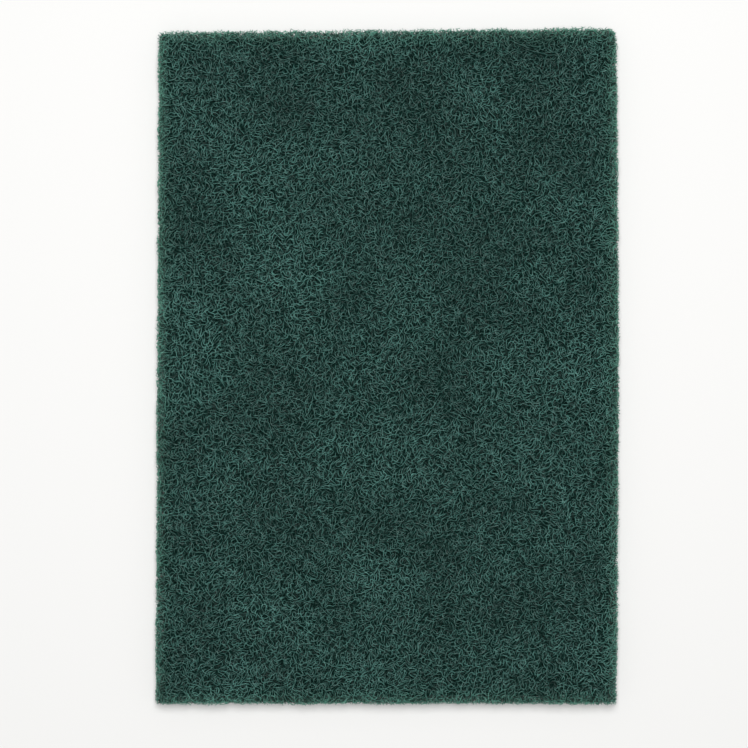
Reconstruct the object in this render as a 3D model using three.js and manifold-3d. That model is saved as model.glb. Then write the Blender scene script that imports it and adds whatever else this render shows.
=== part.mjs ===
// A nylon scouring pad: one slab of springy non-woven web, cut to size from a wide roll.
// Millimetres. X runs across the pad, Y along it and Z up through its thickness. The pad lies
// on its flat face, and the origin is at the middle of that face.
import * as THREE from "three";
import { ImprovedNoise } from "three/addons/math/ImprovedNoise.js";
import { mergeVertices } from "three/addons/utils/BufferGeometryUtils.js";
import Module from "manifold-3d";

const wasm = await Module();
wasm.setup();
const noise = new ImprovedNoise();

// The slab
const padWidth = 153.6;
const padLength = 225.5;
const padThickness = 8;

// The four cuts, which don't make a true rectangle
const leftLean = 1.1; // the left cut runs out by this much from the far end to the near end
const rightBow = 0.8; // the right cut bulges by this much half way along
const farRise = 1.2; // the far cut runs out by this much from left to right

// The soft rim round both faces, and the corners of the faces inside it
const rimInset = 0.6;
const rimDrop = 1.1;
const faceCornerRadius = 0.6;
const droopedFaceCornerRadius = 2.6; // the far right corner has lost its point

// The ragged line that a blade leaves in springy fibres
const raggedDepth = 0.35;
const raggedPitch = 4.5;
const cutStep = 2.6; // between two points of the cut line

// The loft of the open face: broad clouds of thick and thin web, with tufts on them
const cloudDepth = 0.6;
const cloudPitch = 24;
const tuftDepth = 0.7;
const tuftPitch = 7;
const faceStep = 4; // between two points of the open face

// How far the roll's web reaches past the cut on every side, before it is cut
const rollMargin = 6;

const webGreen = new THREE.Color(0x27413c);

// The height of the open face over a point of the pad.
function loftAt(x, y) {
  const cloud = 0.5 - 0.5 * noise.noise(x / cloudPitch, y / cloudPitch, 0.5);
  const tuft = 0.5 - 0.5 * noise.noise(x / tuftPitch, y / tuftPitch, 7.5);
  return padThickness - cloudDepth * cloud - tuftDepth * tuft;
}

// The web as it comes off the roll: larger than the pad, with a lofty open face.
function rollWeb() {
  const width = padWidth + 2 * rollMargin;
  const length = padLength + 2 * rollMargin;
  const height = padThickness + rollMargin;
  const across = Math.ceil(width / faceStep);
  const along = Math.ceil(length / faceStep);
  const web = new THREE.BoxGeometry(width, length, height, across, along, 1);
  web.translate(0, 0, padThickness - height / 2);
  const points = web.getAttribute("position");
  for (let i = 0; i < points.count; i++) {
    if (points.getZ(i) > 0) points.setZ(i, loftAt(points.getX(i), points.getY(i)));
  }
  return web;
}

// The points of one cut between two corners, walked with the pad on the left-hand side.
// The raggedness fades towards the corners, so that they keep their rounding.
function cutPoints({ from, to, fromRadius, toRadius, bow, strand }) {
  const ahead = to.clone().sub(from).normalize();
  const outward = new THREE.Vector2(ahead.y, -ahead.x);
  const start = from.clone().addScaledVector(ahead, fromRadius);
  const length = start.distanceTo(to) - toRadius;
  const steps = Math.ceil(length / cutStep);
  return Array.from({ length: steps + 1 }, (_, i) => {
    const share = i / steps;
    const along = share * length;
    const fade = Math.min(1, along / raggedPitch, (length - along) / raggedPitch);
    const tuft = fade * raggedDepth * noise.noise(along / raggedPitch, strand, 0.3);
    const bulge = 4 * bow * share * (1 - share);
    return start
      .clone()
      .addScaledVector(ahead, along)
      .addScaledVector(outward, bulge + tuft);
  });
}

// The outline of the pad, seen from above: four ragged cuts and four rounded corners.
function cutOutline() {
  const x = padWidth / 2;
  const y = padLength / 2;
  const nearLeft = new THREE.Vector2(-x - leftLean / 2, -y);
  const nearRight = new THREE.Vector2(x, -y);
  const farRight = new THREE.Vector2(x, y + farRise / 2);
  const farLeft = new THREE.Vector2(-x + leftLean / 2, y - farRise / 2);
  const sharp = faceCornerRadius + rimInset;
  const drooped = droopedFaceCornerRadius + rimInset;
  const round = { fromRadius: sharp, toRadius: sharp };
  const cuts = [
    { from: nearLeft, to: nearRight, ...round, bow: 0, strand: 1.4 },
    { from: nearRight, to: farRight, ...round, toRadius: drooped, bow: rightBow, strand: 2.4 },
    { from: farRight, to: farLeft, ...round, fromRadius: drooped, bow: 0, strand: 3.4 },
    { from: farLeft, to: nearLeft, ...round, bow: 0, strand: 4.4 },
  ];
  const lines = cuts.map(cutPoints);
  const outline = new THREE.Shape();
  outline.moveTo(lines[0][0].x, lines[0][0].y);
  lines.forEach((line, i) => {
    line.slice(1).forEach((point) => outline.lineTo(point.x, point.y));
    const corner = cuts[i].to;
    const next = lines[(i + 1) % lines.length][0];
    outline.quadraticCurveTo(corner.x, corner.y, next.x, next.y);
  });
  return outline;
}

// What the blade keeps: the outline carried through the thickness, with a soft rim at each face.
function cutBlock() {
  const block = new THREE.ExtrudeGeometry(cutOutline(), {
    depth: padThickness - 2 * rimDrop,
    bevelThickness: rimDrop,
    bevelSize: rimInset,
    bevelOffset: -rimInset,
    bevelSegments: 2,
    curveSegments: 4,
  });
  return block.translate(0, 0, rimDrop);
}

// A three.js geometry as a solid that can be cut.
function solidOf(geometry) {
  geometry.deleteAttribute("normal");
  geometry.deleteAttribute("uv");
  const merged = mergeVertices(geometry);
  const vertProperties = merged.getAttribute("position").array;
  const triVerts = new Uint32Array(merged.index.array);
  return new wasm.Manifold(new wasm.Mesh({ numProp: 3, vertProperties, triVerts }));
}

// A solid as a three.js geometry, with the middle of its underside at the origin.
function geometryOf(solid) {
  const { vertProperties, triVerts } = solid.getMesh();
  const geometry = new THREE.BufferGeometry();
  geometry.setAttribute("position", new THREE.BufferAttribute(vertProperties, 3));
  geometry.setIndex(new THREE.BufferAttribute(triVerts, 1));
  geometry.computeBoundingBox();
  const { min, max } = geometry.boundingBox;
  geometry.translate(-(min.x + max.x) / 2, -(min.y + max.y) / 2, -min.z);
  geometry.computeVertexNormals();
  return geometry;
}

function scouringPad() {
  const slab = solidOf(rollWeb()).intersect(solidOf(cutBlock()));
  const web = new THREE.MeshStandardMaterial({ color: webGreen, roughness: 0.7, metalness: 0 });
  const pad = new THREE.Mesh(geometryOf(slab), web);
  pad.name = "scouring_pad";
  return pad;
}

const part = new THREE.Group();
part.add(scouringPad());

export default part;
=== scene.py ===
"""A nylon scouring pad: a springy web of crimped, resin-coated fibres, lying on a pale floor."""
import math

import bmesh
import bpy
import numpy as np
from mathutils import Matrix, Vector
from mathutils.bvhtree import BVHTree


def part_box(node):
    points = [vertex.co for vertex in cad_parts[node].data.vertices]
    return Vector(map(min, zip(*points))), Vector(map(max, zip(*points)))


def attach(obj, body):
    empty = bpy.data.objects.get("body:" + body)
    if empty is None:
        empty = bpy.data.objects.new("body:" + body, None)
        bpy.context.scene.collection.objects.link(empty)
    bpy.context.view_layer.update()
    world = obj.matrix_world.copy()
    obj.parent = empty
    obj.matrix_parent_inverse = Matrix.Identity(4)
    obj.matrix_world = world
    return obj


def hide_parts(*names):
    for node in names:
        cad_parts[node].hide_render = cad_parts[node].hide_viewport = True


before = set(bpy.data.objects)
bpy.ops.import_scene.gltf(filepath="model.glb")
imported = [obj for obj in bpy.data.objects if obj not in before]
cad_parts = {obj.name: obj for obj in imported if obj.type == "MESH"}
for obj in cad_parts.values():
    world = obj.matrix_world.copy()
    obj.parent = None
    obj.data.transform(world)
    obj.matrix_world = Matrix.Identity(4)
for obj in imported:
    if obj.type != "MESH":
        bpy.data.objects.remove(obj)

bl_info = {
    "name": "Scouring Pad",
    "version": (1, 0, 0),
    "blender": (4, 5, 0),
    "location": "View3D > Sidebar > Scouring Pad",
    "description": "Dresses the plain slab of a scouring pad as a web of crimped nylon fibres",
    "category": "Add Mesh",
}

MM = 0.001

# How the fibres lie
FIRST_OUTSIDE = 2 * MM  # fibres are laid out this far past the faces, then cut off
CELL = 0.37 * MM  # of the grid that keeps the fibres of a face evenly spread
FACE_WAVE = 0.35 * MM  # how far a fibre of a face weaves up and down
END_DIVE = 0.6 * MM  # how far the two ends of a fibre dive into the web
CUT_WAVE = 0.8 * MM  # the same as the face wave, for the fibres behind a cut
SECTION_SIDES = 3
THICKER_BELOW = 0.6  # how much thicker the deepest layer's fibres are, in diameters
LEAST_DEPTH = 0.6  # the least depth of a fibre's middle, in diameters

# How the blade left the cuts
FACE_ENDS = (0.05 * MM, 0.2 * MM)  # how far past a cut a face's fibres end, and how unevenly
CUT_ENDS = (0.15 * MM, 0.22 * MM)  # the same for the fibres behind the cut
TORN_REACH = 5 * MM  # how near the far end the web is torn
LIGHT_REACH = 2 * MM  # how far inside a cut light comes up through the open web
FAR_LIGHT = 0.2  # how much more of it comes up at the far cut, and less at the near one
FACE_SHADE = 0.4  # the share of its depth that still darkens a face's fibre at a cut
CUT_SHADE = 0.25  # the same for a fibre behind the cut

# How the map named OFBake is laid out
STRIP_LENGTH = 0.98  # the share of its place that a fibre's strip takes up
STRIP_WIDTH = 0.8

NODE = "scouring_pad"
BODY = "root"
SLAB_LOW, SLAB_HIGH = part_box(NODE)
SLAB_MIDDLE = (SLAB_LOW + SLAB_HIGH) / 2
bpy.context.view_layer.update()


class WebSettings(bpy.types.PropertyGroup):
    """The fibres of the web and the core under them."""

    fibre_diameter: bpy.props.FloatProperty(
        name="Fibre diameter", description="A fibre with its coat of resin and grit",
        default=0.21 * MM, unit="LENGTH", precision=5,
    )
    fibre_step: bpy.props.FloatProperty(
        name="Fibre step", description="Between two points of a fibre's line",
        default=0.7 * MM, unit="LENGTH", precision=5,
    )
    fibre_points: bpy.props.IntProperty(
        name="Fibre points", description="The points of a fibre's line", default=12, min=4,
    )
    crimp_radius: bpy.props.FloatProperty(
        name="Crimp radius", description="The tightest bends of a crimped fibre",
        default=0.95 * MM, unit="LENGTH", precision=5,
    )
    face_depth: bpy.props.FloatProperty(
        name="Depth of the face", description="How deep below a face its loose fibres lie",
        default=1.3 * MM, unit="LENGTH", precision=5,
    )
    cut_depth: bpy.props.FloatProperty(
        name="Depth of the cut edge", description="How far inside the cuts the web is open",
        default=3.0 * MM, unit="LENGTH", precision=5,
    )
    core_inset: bpy.props.FloatProperty(
        name="Core inset", description="How far the core stays inside the cuts",
        default=2.2 * MM, unit="LENGTH", precision=5,
    )
    core_sink: bpy.props.FloatProperty(
        name="Core sink", description="How far the core stays below each face",
        default=1.3 * MM, unit="LENGTH", precision=5,
    )
    core_step: bpy.props.FloatProperty(
        name="Core step", description="Between two points of the core's surface",
        default=1.2 * MM, unit="LENGTH", precision=5,
    )


class FinishSettings(bpy.types.PropertyGroup):
    """The colours and sheen of the resin coat, with painted shade for the fibres deep in the web
    and painted light at the cuts.
    """

    fibre_colour: bpy.props.FloatVectorProperty(
        name="Fibre", description="A fibre on top of the web", subtype="COLOR",
        size=3, min=0, max=1, default=(0.109, 0.292, 0.254),
    )
    # painted shade: a fibre down in the web takes this darker colour for the shade of the fibres
    # above it
    deep_shade_colour: bpy.props.FloatVectorProperty(
        name="Deep fibre", description="A fibre down in the web", subtype="COLOR",
        size=3, min=0, max=1, default=(0.005, 0.026, 0.021),
    )
    # painted shade: the core's pores and fibres are nearly black for the shade deep under the face
    core_shade_colour: bpy.props.FloatVectorProperty(
        name="Core", description="The pores of the web deep under the face", subtype="COLOR",
        size=3, min=0, max=1, default=(0.0004, 0.003, 0.002),
    )
    core_fibre_shade_colour: bpy.props.FloatVectorProperty(
        name="Core fibre", description="The fibres of the web deep under the face",
        subtype="COLOR", size=3, min=0, max=1, default=(0.004, 0.020, 0.016),
    )
    rim_colour: bpy.props.FloatVectorProperty(
        name="Rim", description="A fibre at a cut, where light comes up through the open web",
        subtype="COLOR", size=3, min=0, max=1, default=(0.108, 0.325, 0.236),
    )
    roughness: bpy.props.FloatProperty(
        name="Roughness", description="The sheen of the resin coat", default=0.36, min=0, max=1,
    )


class StageSettings(bpy.types.PropertyGroup):
    """The floor, the lights and the camera."""

    floor_colour: bpy.props.FloatVectorProperty(
        name="Floor", description="The pale paper under the pad", subtype="COLOR",
        size=3, min=0, max=1, default=(0.86, 0.857, 0.845),
    )
    frame_width: bpy.props.FloatProperty(
        name="Frame width", description="What the camera sees across, at the height of the face",
        default=250.3 * MM, unit="LENGTH",
    )
    camera_height: bpy.props.FloatProperty(
        name="Camera height", description="From the face of the pad up to the camera",
        default=900 * MM, unit="LENGTH",
    )
    camera_place: bpy.props.FloatVectorProperty(
        name="Camera place", description="Where the camera stands over the pad", size=2,
        default=(-4.42 * MM, -2.5 * MM), unit="LENGTH",
    )
    sky: bpy.props.FloatProperty(
        name="Sky", description="Even light from all sides", default=0.25, min=0,
    )
    key: bpy.props.FloatProperty(
        name="Key light", description="The soft box over the pad, in watts", default=12.1, min=0,
    )
    key_place: bpy.props.FloatVectorProperty(
        name="Key place", description="Where the soft box hangs, towards the far end", size=3,
        default=(0, 0.19, 1.1), unit="LENGTH",
    )
    key_size: bpy.props.FloatVectorProperty(
        name="Key size", description="The soft box across and along the pad", size=2,
        default=(0.38, 0.75), unit="LENGTH",
    )


class PadSettings(bpy.types.PropertyGroup):
    """All that can be changed on the pad."""

    web: bpy.props.PointerProperty(type=WebSettings)
    finish: bpy.props.PointerProperty(type=FinishSettings)
    stage: bpy.props.PointerProperty(type=StageSettings)


class Slab:
    """The plain slab that the fibres keep to: its faces over a point, and its cuts."""

    STRETCH = 10  # makes the slab so tall that its cuts are the nearest surface to its middle

    def __init__(self):
        shape = bmesh.new()
        shape.from_mesh(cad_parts[NODE].data)
        bmesh.ops.remove_doubles(shape, verts=shape.verts, dist=0.001 * MM)
        self.tree = BVHTree.FromBMesh(shape)
        bmesh.ops.scale(shape, vec=(1, 1, self.STRETCH), verts=shape.verts)
        self.walls = BVHTree.FromBMesh(shape)
        shape.free()

    def height(self, x, y):
        """The height of the open face at a point, or of its rim where the point lies outside."""
        above = Vector((x, y, SLAB_HIGH.z + 1 * MM))
        hit = self.tree.ray_cast(above, Vector((0, 0, -1)))[0]
        if hit is None:
            hit = self.tree.find_nearest(above)[0]
        return hit.z

    def inside(self, x, y):
        """How far inside the nearest cut a point lies. Below 0 is outside."""
        place = Vector((x, y, SLAB_MIDDLE.z * self.STRETCH))
        near, normal, _, distance = self.walls.find_nearest(place)
        return distance if (place - near).dot(normal) < 0 else -distance

    def heights(self, points):
        values = [self.height(x, y) for x, y in points.reshape(-1, 2)]
        return np.array(values).reshape(points.shape[:-1])

    def insides(self, points):
        values = [self.inside(x, y) for x, y in points.reshape(-1, 2)]
        return np.array(values).reshape(points.shape[:-1])


SLAB = Slab()


class Crowding:
    """How full of fibres each place of a face is, so that the next ones go where there is room."""

    def __init__(self, low, high, cell):
        self.low = low
        self.cell = cell
        self.full = np.zeros(np.ceil((high - low) / cell).astype(int) + 1)

    def settle(self, tries):
        """Of each row of tries, the line through the emptiest cells, which it then fills."""
        last = np.array(self.full.shape) - 2
        cells = np.clip((tries - self.low) // self.cell, 1, last).astype(int)
        kept = []
        for row, (across, along) in zip(tries, np.moveaxis(cells, -1, 1)):
            best = self.full[across, along].sum(axis=1).argmin()
            kept.append(row[best])
            for side in (-1, 0, 1):
                for ahead in (-1, 0, 1):
                    share = 1 / (1 + abs(side) + abs(ahead))
                    self.full[across[best] + side, along[best] + ahead] += share
        return np.array(kept)


def crimped_lines(rng, starts, web):
    """Level lines that wander like crimped fibres, one through each start."""
    along = np.arange(web.fibre_points) * web.fibre_step
    many = (len(starts), 1)
    heading = rng.uniform(0, 2 * math.pi, many) + rng.normal(0, 1 / (8 * MM), many) * along
    for _ in range(2):
        wave = rng.uniform(4 * MM, 10 * MM, many)
        radius = web.crimp_radius * rng.uniform(1, 2.2, many)
        heading = heading + wave / (2 * math.pi * radius) * np.sin(
            2 * math.pi * along / wave + rng.uniform(0, 2 * math.pi, many)
        )
    steps = web.fibre_step * np.stack([np.cos(heading), np.sin(heading)], axis=2)
    lines = np.cumsum(steps, axis=1)
    middle = web.fibre_points // 2
    return starts[:, None] + lines - lines[:, middle: middle + 1]


def spread(rng, low, high, many):
    """About so many places, spread evenly over a rectangle and shaken."""
    across, along = high - low
    columns = round(math.sqrt(many * across / along))
    rows = round(many / columns)
    cells = np.stack(np.meshgrid(np.arange(columns), np.arange(rows)), axis=-1).reshape(-1, 2)
    return low + (cells + rng.random(cells.shape)) * (high - low) / (columns, rows)


def openness(flat, inside):
    """How much light comes up through the web: full at a cut and fading inside it.

    The light leans over the far end, so more of it comes up there.
    """
    leaning = 1 + FAR_LIGHT * flat[..., 1] / SLAB_HIGH.y
    return leaning * np.exp(-np.maximum(inside, 0) / LIGHT_REACH)


def torn(flat):
    """1 near the far cut, which the blade tore open, and 0 elsewhere."""
    return (flat[..., 1] > SLAB_HIGH.y - TORN_REACH).astype(float)


def weave(rng, many, web, low, high):
    """A slow wave from -1 to 1 along each fibre, for its rise and fall among the others."""
    along = np.arange(web.fibre_points) * web.fibre_step
    wave = rng.uniform(low, high, (many, 1))
    return np.sin(2 * math.pi * along / wave + rng.uniform(0, 2 * math.pi, (many, 1)))


def cut_runs(lines, margin, least=3):
    """The unbroken runs of each line where its margin is above 0, cut off where it reaches 0."""
    runs = []
    for line, left in zip(lines, margin):
        edges = np.flatnonzero(np.diff(np.concatenate([[0], (left > 0).astype(int), [0]])))
        for start, end in zip(edges[::2], edges[1::2]):
            if end - start < least:
                continue
            run = line[start:end]
            if start > 0:
                run = np.vstack([cut_point(line, left, start, start - 1), run])
            if end < len(line):
                run = np.vstack([run, cut_point(line, left, end - 1, end)])
            runs.append(run)
    return runs


def cut_point(line, left, kept, lost):
    """Where the margin reaches 0 between two points of a line, never quite at the kept one."""
    share = max(left[kept] / (left[kept] - left[lost]), 0.1)
    return line[kept] + share * (line[lost] - line[kept])


def triangle_section(diameter):
    """The section of a fibre, drawn clockwise so that the tubes face outwards."""
    curve = bpy.data.curves.new("fibre_section", "CURVE")
    curve.dimensions = "2D"
    spline = curve.splines.new("POLY")
    spline.points.add(SECTION_SIDES - 1)
    for i, point in enumerate(spline.points):
        turn = -2 * math.pi * i / SECTION_SIDES
        point.co = (diameter / 2 * math.cos(turn), diameter / 2 * math.sin(turn), 0, 1)
    spline.use_cyclic_u = True
    section = bpy.data.objects.new("fibre_section", curve)
    bpy.context.scene.collection.objects.link(section)
    return section


def fibre_piece(name, runs, rng, pad, thick=1.0):
    """One piece of closed three-sided tubes. A run's rows are x, y, z, depth and openness."""
    section = triangle_section(thick * pad.web.fibre_diameter)
    curve = bpy.data.curves.new(name, "CURVE")
    curve.dimensions = "3D"
    curve.bevel_mode = "OBJECT"
    curve.bevel_object = section
    curve.use_fill_caps = True
    for run in runs:
        spline = curve.splines.new("POLY")
        spline.points.add(len(run) - 1)
        places = np.column_stack([run[:, :3], np.ones(len(run))])
        spline.points.foreach_set("co", places.ravel())
        coat = rng.uniform(0.8, 1.15) * rng.uniform(0.85, 1.2, len(run))
        spline.points.foreach_set("radius", coat)
        spline.use_smooth = True
    bent = bpy.data.objects.new(name, curve)
    bpy.context.scene.collection.objects.link(bent)
    depsgraph = bpy.context.evaluated_depsgraph_get()
    mesh = bpy.data.meshes.new_from_object(bent.evaluated_get(depsgraph))
    bpy.data.objects.remove(bent)
    bpy.data.objects.remove(section)
    bpy.data.curves.remove(curve)
    mark_fibres(mesh, runs, rng)
    lay_out(mesh, runs)
    shape = bmesh.new()
    shape.from_mesh(mesh)
    bmesh.ops.remove_doubles(shape, verts=shape.verts, dist=0.0001 * MM)
    shape.to_mesh(mesh)
    shape.free()
    return finished(name, mesh, coated_fibre(pad))


def mark_fibres(mesh, runs, rng):
    """Gives each fibre its own tint, and each of its points its depth, which sets its painted
    shade, and the openness there, which sets its painted light.
    """
    tints = rng.uniform(0, 1, len(runs))
    marks = [
        np.column_stack([run[:, 3:], np.full(len(run), tint)]) for run, tint in zip(runs, tints)
    ]
    ends = [mark[[-1, 0]] for mark in marks[::-1]]
    rows = np.repeat(np.concatenate(ends + marks), SECTION_SIDES, axis=0).astype(np.float32)
    for column, name in enumerate(("fibre_depth", "fibre_open", "fibre_tint")):
        attribute = mesh.attributes.new(name, "FLOAT", "POINT")
        attribute.data.foreach_set("value", np.ascontiguousarray(rows[:, column]))


def lay_out(mesh, runs):
    """Lays each fibre out as a strip of the map named OFBake, in rows from bottom to top.

    The corners of the end caps come first, from the last fibre back, then those of the sides.
    """
    lengths = np.array([len(run) for run in runs], float)
    row_length = math.sqrt(lengths.sum()) + lengths.max()
    row, start = np.zeros(len(runs)), np.zeros(len(runs))
    at, rows = 0.0, 1
    for i, length in enumerate(lengths):
        if at + length > row_length:
            at, rows = 0.0, rows + 1
        row[i], start[i] = rows - 1, at
        at += length
    fibre = np.arange(len(runs))
    cap_corners = 2 * SECTION_SIDES
    side_corners = 4 * SECTION_SIDES * (lengths.astype(int) - 1)
    caps = np.repeat(fibre[::-1], cap_corners)
    of_corner = np.concatenate([caps, np.repeat(fibre, side_corners)])
    layer = mesh.uv_layers[0]
    layer.name = "OFBake"
    uv = np.zeros(2 * len(mesh.loops), np.float32)
    layer.uv.foreach_get("vector", uv)
    uv = uv.reshape(-1, 2)
    uv[:, 0] = (start[of_corner] + STRIP_LENGTH * uv[:, 0] * lengths[of_corner]) / row_length
    uv[:, 1] = (row[of_corner] + (1 - STRIP_WIDTH) / 2 + STRIP_WIDTH * uv[:, 1]) / rows
    layer.uv.foreach_set("vector", uv.ravel())


def finished(name, mesh, material):
    """The mesh as a piece of the pad, riding on its body."""
    mesh.name = name
    mesh.materials.clear()
    mesh.materials.append(material)
    piece = bpy.data.objects.new(name, mesh)
    bpy.context.scene.collection.objects.link(piece)
    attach(piece, BODY)
    return piece


class Maths:
    """A value in a shader. Python's own operators on it add Math nodes."""

    def __init__(self, shader, socket):
        self.shader = shader
        self.socket = socket

    def _with(self, operation, *values):
        sockets = dict(enumerate(values))
        return self.shader.value("ShaderNodeMath", {"operation": operation}, sockets)

    def __add__(self, other):
        return self._with("ADD", self, other)

    def __sub__(self, other):
        return self._with("SUBTRACT", self, other)

    def __rsub__(self, other):
        return self._with("SUBTRACT", other, self)

    def __mul__(self, other):
        return self._with("MULTIPLY", self, other)

    def high(self, other):
        """The larger of the two."""
        return self._with("MAXIMUM", self, other)

    __radd__ = __add__
    __rmul__ = __mul__


class Shader:
    """A material and its nodes."""

    def __init__(self, name):
        self.material = bpy.data.materials.new(name)
        self.material.use_nodes = True
        self.nodes = self.material.node_tree.nodes
        self.links = self.material.node_tree.links
        self.nodes.clear()

    def node(self, kind, settings, sockets):
        """A node with its settings, and with a value or a link on each named socket."""
        node = self.nodes.new(kind)
        for name, setting in settings.items():
            setattr(node, name, setting)
        for name, value in sockets.items():
            socket = node.inputs[name]
            if isinstance(value, Maths):
                self.links.new(value.socket, socket)
            elif isinstance(value, bpy.types.NodeSocket):
                self.links.new(value, socket)
            else:
                socket.default_value = value
        return node

    def value(self, kind, settings, sockets, output=0):
        return Maths(self, self.node(kind, settings, sockets).outputs[output])

    def place(self):
        """The place of a point on the piece, in metres."""
        return self.node("ShaderNodeTexCoord", {}, {}).outputs["Object"]

    def attribute(self, name):
        return self.value("ShaderNodeAttribute", {"attribute_name": name}, {}, "Fac")

    def clouds(self, size, detail=2.0, seed=0.0):
        """Soft noise from 0 to 1 with patches of about that size."""
        settings = {"noise_dimensions": "4D"}
        sockets = {"Vector": self.place(), "W": seed, "Scale": 1 / size, "Detail": detail}
        return self.value("ShaderNodeTexNoise", settings, sockets)

    def net(self, size, width, seed):
        """A net of curved lines of that width round cells of about that size: 1 on the lines."""
        settings = {"noise_dimensions": "4D"}
        sockets = {"Vector": self.place(), "W": seed, "Scale": 0.5 / size, "Detail": 1.0}
        drift = self.node("ShaderNodeTexNoise", settings, sockets).outputs["Color"]
        sockets = {0: drift, 1: (-0.5, -0.5, -0.5)}
        drift = self.node("ShaderNodeVectorMath", {"operation": "ADD"}, sockets).outputs[0]
        sockets = {0: drift, "Scale": 2.0 * size}
        drift = self.node("ShaderNodeVectorMath", {"operation": "SCALE"}, sockets).outputs[0]
        sockets = {0: self.place(), 1: drift}
        place = self.node("ShaderNodeVectorMath", {"operation": "ADD"}, sockets).outputs[0]
        settings = {"feature": "DISTANCE_TO_EDGE"}
        sockets = {"Vector": place, "Scale": 1 / size}
        edge = self.value("ShaderNodeTexVoronoi", settings, sockets, "Distance")
        return 1 - self.between(edge, 0.3 * width / size, width / size)

    def between(self, value, low, high):
        """0 below low and 1 above high, smooth between them."""
        sockets = {"Value": value, "From Min": low, "From Max": high}
        return self.value("ShaderNodeMapRange", {"interpolation_type": "SMOOTHSTEP"}, sockets)

    def mix(self, share, first, second):
        """A colour between two."""
        sockets = {0: share, 6: first, 7: second}
        return self.node("ShaderNodeMix", {"data_type": "RGBA"}, sockets).outputs[2]

    def finish(self, sockets):
        surface = self.node("ShaderNodeBsdfPrincipled", {}, sockets)
        self.node("ShaderNodeOutputMaterial", {}, {"Surface": surface.outputs[0]})
        return self.material


def colour(rgb):
    return (*rgb, 1.0)


def coated_fibre(pad):
    """Resin-coated nylon: no two fibres quite alike, with grit along each, painted shade that
    darkens each fibre deep down, and painted light at the cuts.
    """
    name = "coated_fibre"
    if name in bpy.data.materials:
        return bpy.data.materials[name]
    shader = Shader(name)
    tint = shader.attribute("fibre_tint")
    depth = shader.attribute("fibre_depth")
    cloud = 0.8 * shader.clouds(16 * MM, seed=3) + 1.5 * shader.clouds(45 * MM, seed=4)
    grit = shader.clouds(0.35 * MM, detail=1, seed=5)
    # painted shade: the deeper a fibre lies, the more its colour goes from the fibre colour to the
    # darker deep shade colour; tint, clouds and grit vary it only near the top
    shallow = 1 - shader.between(depth, 0.1 * pad.web.face_depth, 0.8 * pad.web.face_depth)
    light = shallow * (0.1 * tint + 0.9 * cloud + 1.0 * grit - 0.95)
    bump = shader.node(
        "ShaderNodeBump", {}, {"Strength": 0.6, "Distance": 0.07 * MM, "Height": grit}
    )
    finish = pad.finish
    inner = shader.mix(light, colour(finish.deep_shade_colour), colour(finish.fibre_colour))
    # painted light: the rim colour where light comes up through the open web at a cut, fading with
    # depth and in specks along the grit
    rim = shader.attribute("fibre_open") * (0.2 + 0.8 * shallow) * (0.5 * tint + 1.7 * grit - 0.05)
    return shader.finish({
        "Base Color": shader.mix(rim, inner, colour(finish.rim_colour)),
        "Roughness": finish.roughness - 0.12 + 0.25 * grit,
        "Specular IOR Level": 0.3,
        "Coat Weight": 0.35 * shallow,
        "Coat Roughness": 0.22,
        "Normal": bump.outputs[0],
    })


def shaded_deep_web(pad):
    """The web deep down: a net of fibres over pores, painted dim and dark as the shade deep under
    the face.
    """
    shader = Shader("shaded_deep_web")
    near = shader.net(size=1.1 * MM, width=0.3 * MM, seed=11)
    far = shader.net(size=0.85 * MM, width=0.22 * MM, seed=17)
    lines = near.high(0.5 * far)
    finish = pad.finish
    bump = shader.node(
        "ShaderNodeBump", {}, {"Strength": 0.7, "Distance": 0.3 * MM, "Height": lines}
    )
    # painted shade: the pores and fibres deep under the face take these dark colours
    pores, fibres = colour(finish.core_shade_colour), colour(finish.core_fibre_shade_colour)
    return shader.finish({
        "Base Color": shader.mix(lines, pores, fibres),
        "Roughness": 0.9,
        "Specular IOR Level": 0.05,
        "Normal": bump.outputs[0],
    })


class OBJECT_OT_web_core(bpy.types.Operator):
    """The springy middle of the web, a lumpy slab that closes the view between the fibres, painted
    dark as the shade deep in the web
    """

    bl_idname = "object.web_core"
    bl_label = "Web core"

    def execute(self, context):
        pad = context.scene.scouring_pad
        web = pad.web
        shape = bmesh.new()
        shape.from_mesh(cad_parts[NODE].data)
        bmesh.ops.remove_doubles(shape, verts=shape.verts, dist=0.001 * MM)
        size = SLAB_HIGH - SLAB_LOW
        inset = Vector((web.core_inset, web.core_inset, web.core_sink))
        share = [(size[i] - 2 * inset[i]) / size[i] for i in range(3)]
        to_middle = Matrix.Translation(-SLAB_MIDDLE)
        bmesh.ops.scale(shape, vec=share, space=to_middle, verts=shape.verts)
        mesh = bpy.data.meshes.new("web_core")
        shape.to_mesh(mesh)
        shape.free()
        core = finished("web_core", mesh, shaded_deep_web(pad))
        remesh = core.modifiers.new("steps", "REMESH")
        remesh.mode = "VOXEL"
        remesh.voxel_size = web.core_step
        remesh.use_smooth_shade = True
        for label, lump, depth in (("tufts", 3.2 * MM, 0.9 * MM), ("lumps", 9 * MM, 0.7 * MM)):
            texture = bpy.data.textures.new(label, "CLOUDS")
            texture.noise_scale = lump
            texture.noise_depth = 1
            displace = core.modifiers.new(label, "DISPLACE")
            displace.texture = texture
            displace.texture_coords = "LOCAL"
            displace.strength = depth
            displace.mid_level = 0.6
        depsgraph = context.evaluated_depsgraph_get()
        mesh = bpy.data.meshes.new_from_object(core.evaluated_get(depsgraph))
        core.modifiers.clear()
        core.data = mesh
        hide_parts(NODE)
        return {"FINISHED"}


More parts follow.
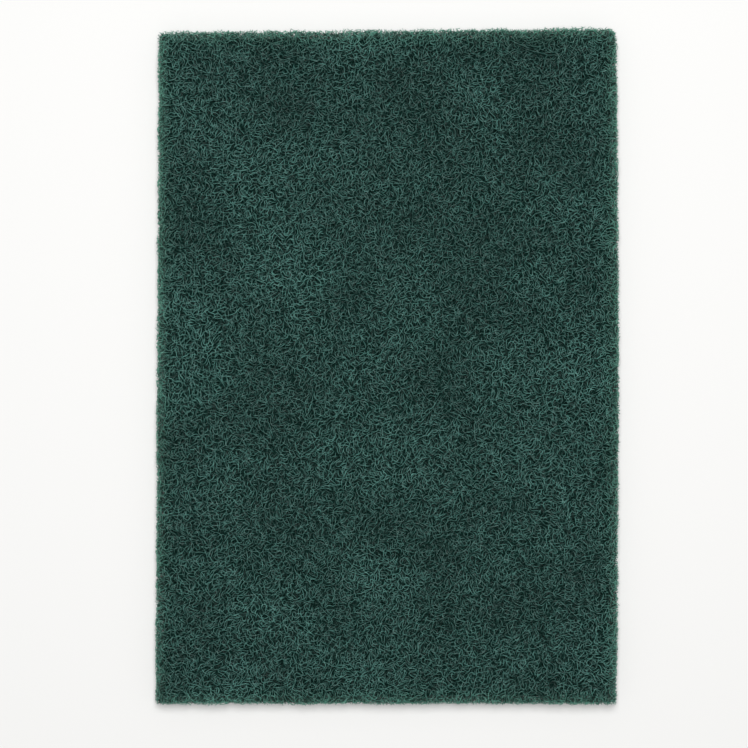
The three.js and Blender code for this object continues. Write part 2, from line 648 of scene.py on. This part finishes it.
class OBJECT_OT_face_fibres(bpy.types.Operator):
    """Loose crimped fibres lying in one face of the web, in layers from the face down"""

    bl_idname = "object.face_fibres"
    bl_label = "Face fibres"

    piece: bpy.props.StringProperty(name="Piece", default="upper_fibres")
    top: bpy.props.BoolProperty(name="Open face", default=True)
    seed: bpy.props.IntProperty(name="Seed", default=1)
    layers: bpy.props.IntProperty(name="Layers", default=7, min=1)
    many: bpy.props.IntProperty(name="Fibres", description="In each layer", default=3040)
    tries: bpy.props.IntProperty(
        name="Tries", description="Lines tried for each fibre, to fill the gaps", default=30, min=1
    )
    thick: bpy.props.FloatProperty(
        name="Thickness", description="Of the top layer's fibres, in diameters", default=1.0
    )

    def execute(self, context):
        pad = context.scene.scouring_pad
        web = pad.web
        rng = np.random.default_rng(self.seed)
        low = np.array(SLAB_LOW.xy) - FIRST_OUTSIDE
        high = np.array(SLAB_HIGH.xy) + FIRST_OUTSIDE
        crowding = Crowding(low, high, CELL)
        dive = END_DIVE * np.abs(np.linspace(-1, 1, web.fibre_points)) ** 8
        for layer in range(self.layers):
            starts = spread(rng, low, high, self.many)
            many = len(starts)
            tries = crimped_lines(rng, np.repeat(starts, self.tries, axis=0), web)
            flat = crowding.settle(tries.reshape(many, self.tries, web.fibre_points, 2))
            inside = SLAB.insides(flat)
            share = rng.uniform(layer, layer + 2, (many, 1)) / (self.layers + 1)
            wave = weave(rng, many, web, low=2.5 * MM, high=7 * MM)
            depth = web.face_depth * share + FACE_WAVE * wave
            depth = np.maximum(depth + dive, LEAST_DEPTH * web.fibre_diameter)
            z = SLAB.heights(flat) - depth if self.top else depth
            # painted shade: how deep the fibre seems, which darkens its colour, less near a cut
            buried = np.minimum(depth, np.maximum(inside, 0) + FACE_SHADE * depth)
            light = openness(flat, inside)
            lines = np.stack([flat[..., 0], flat[..., 1], z, buried, light], axis=2)
            past = rng.normal(*FACE_ENDS, (many, 1))
            tear = torn(flat) * (0.15 * layer * rng.exponential(1 * MM, (many, 1)) - 0.25 * MM)
            runs = cut_runs(lines, inside + past - tear)
            thick = self.thick + THICKER_BELOW * layer / self.layers
            fibre_piece(f"{self.piece}_{layer + 1}", runs, rng, pad, thick)
        return {"FINISHED"}


class OBJECT_OT_cut_fibres(bpy.types.Operator):
    """The open web along the four cuts, with the fibre ends that the blade left"""

    bl_idname = "object.cut_fibres"
    bl_label = "Cut fibres"

    piece: bpy.props.StringProperty(name="Piece", default="cut_fibres")
    seed: bpy.props.IntProperty(name="Seed", default=9)
    layers: bpy.props.IntProperty(name="Layers", default=2, min=1)
    many: bpy.props.IntProperty(name="Fibres", description="In each layer", default=3000)

    def execute(self, context):
        pad = context.scene.scouring_pad
        web = pad.web
        rng = np.random.default_rng(self.seed)
        low, high = np.array(SLAB_LOW.xy), np.array(SLAB_HIGH.xy)
        tries = low + (high - low) * rng.random((self.layers * self.many * 60, 2))
        near_edge = np.minimum(tries - low, high - tries).min(axis=1) < web.cut_depth + 3 * MM
        tries = tries[near_edge]
        inside = SLAB.insides(tries)
        wanted = tries[(inside > 0) & (inside < web.cut_depth * rng.random(len(tries)))]
        for layer in range(self.layers):
            starts = wanted[layer * self.many: (layer + 1) * self.many]
            many = len(starts)
            flat = crimped_lines(rng, starts, web)
            inside = SLAB.insides(flat)
            face = SLAB.heights(flat)
            share = rng.uniform(0.05, 0.88, (many, 1))
            room = np.minimum(CUT_WAVE, face * np.minimum(share, 1 - share))
            z = face * share + room * weave(rng, many, web, low=5 * MM, high=12 * MM)
            thin = LEAST_DEPTH * web.fibre_diameter
            z = np.clip(z, thin, face - thin)
            depth = np.minimum(z, face - z)
            # painted shade: how deep the fibre seems, which darkens its colour, less near the cut
            buried = np.minimum(depth, np.maximum(inside, 0) + CUT_SHADE * depth)
            light = openness(flat, inside)
            lines = np.stack([flat[..., 0], flat[..., 1], z, buried, light], axis=2)
            past = rng.normal(*CUT_ENDS, (many, 1))
            tear = torn(flat) * (rng.exponential(0.6 * MM, (many, 1)) - 0.4 * MM)
            margin = np.minimum(inside + past - tear, web.cut_depth - inside)
            fibre_piece(f"{self.piece}_{layer + 1}", cut_runs(lines, margin), rng, pad)
        return {"FINISHED"}


class OBJECT_OT_pad_stage(bpy.types.Operator):
    """The pale floor, the soft light and the camera straight above"""

    bl_idname = "object.pad_stage"
    bl_label = "Stage"

    def execute(self, context):
        stage = context.scene.scouring_pad.stage
        shader = Shader("pale_paper")
        paper = shader.finish({"Base Color": colour(stage.floor_colour), "Roughness": 0.9})
        shape = bmesh.new()
        bmesh.ops.create_grid(shape, x_segments=1, y_segments=1, size=3)
        mesh = bpy.data.meshes.new("floor")
        shape.to_mesh(mesh)
        shape.free()
        mesh.materials.append(paper)
        floor = bpy.data.objects.new("floor", mesh)
        context.scene.collection.objects.link(floor)
        world = bpy.data.worlds.new("studio")
        world.use_nodes = True
        background = world.node_tree.nodes["Background"]
        background.inputs["Color"].default_value = (1, 1, 1, 1)
        background.inputs["Strength"].default_value = stage.sky
        context.scene.world = world
        light = bpy.data.lights.new("soft_box", "AREA")
        light.shape = "RECTANGLE"
        light.size, light.size_y = stage.key_size
        light.energy = stage.key
        box = bpy.data.objects.new("soft_box", light)
        box.location = stage.key_place
        box.rotation_euler = (-box.location).to_track_quat("-Z", "Y").to_euler()
        context.scene.collection.objects.link(box)
        lens = bpy.data.cameras.new("camera")
        lens.lens = lens.sensor_width * stage.camera_height / stage.frame_width
        camera = bpy.data.objects.new("camera", lens)
        camera.location = (*stage.camera_place, SLAB_HIGH.z + stage.camera_height)
        context.scene.collection.objects.link(camera)
        context.scene.camera = camera
        context.scene.view_settings.view_transform = "Standard"
        return {"FINISHED"}


class VIEW3D_PT_scouring_pad(bpy.types.Panel):
    """The pad's pieces and settings"""

    bl_label = "Scouring Pad"
    bl_space_type = "VIEW_3D"
    bl_region_type = "UI"
    bl_category = "Scouring Pad"

    def draw(self, context):
        pad = context.scene.scouring_pad
        for operator in OPERATORS:
            self.layout.operator(operator.bl_idname)
        for group in (pad.web, pad.finish, pad.stage):
            for name in type(group).__annotations__:
                self.layout.prop(group, name)


SETTINGS = (WebSettings, FinishSettings, StageSettings, PadSettings)
OPERATORS = (
    OBJECT_OT_pad_stage,
    OBJECT_OT_web_core,
    OBJECT_OT_face_fibres,
    OBJECT_OT_cut_fibres,
)


def register():
    for part in (*SETTINGS, *OPERATORS, VIEW3D_PT_scouring_pad):
        bpy.utils.register_class(part)
    bpy.types.Scene.scouring_pad = bpy.props.PointerProperty(type=PadSettings)


def unregister():
    del bpy.types.Scene.scouring_pad
    for part in reversed((*SETTINGS, *OPERATORS, VIEW3D_PT_scouring_pad)):
        bpy.utils.unregister_class(part)


def main():
    register()
    bpy.ops.object.pad_stage()
    bpy.ops.object.web_core()
    bpy.ops.object.face_fibres(piece="upper_fibres")
    bpy.ops.object.face_fibres(piece="underside_fibres", top=False, seed=2, layers=1, thick=1.3)
    bpy.ops.object.cut_fibres()


if __name__ == "__main__":
    main()
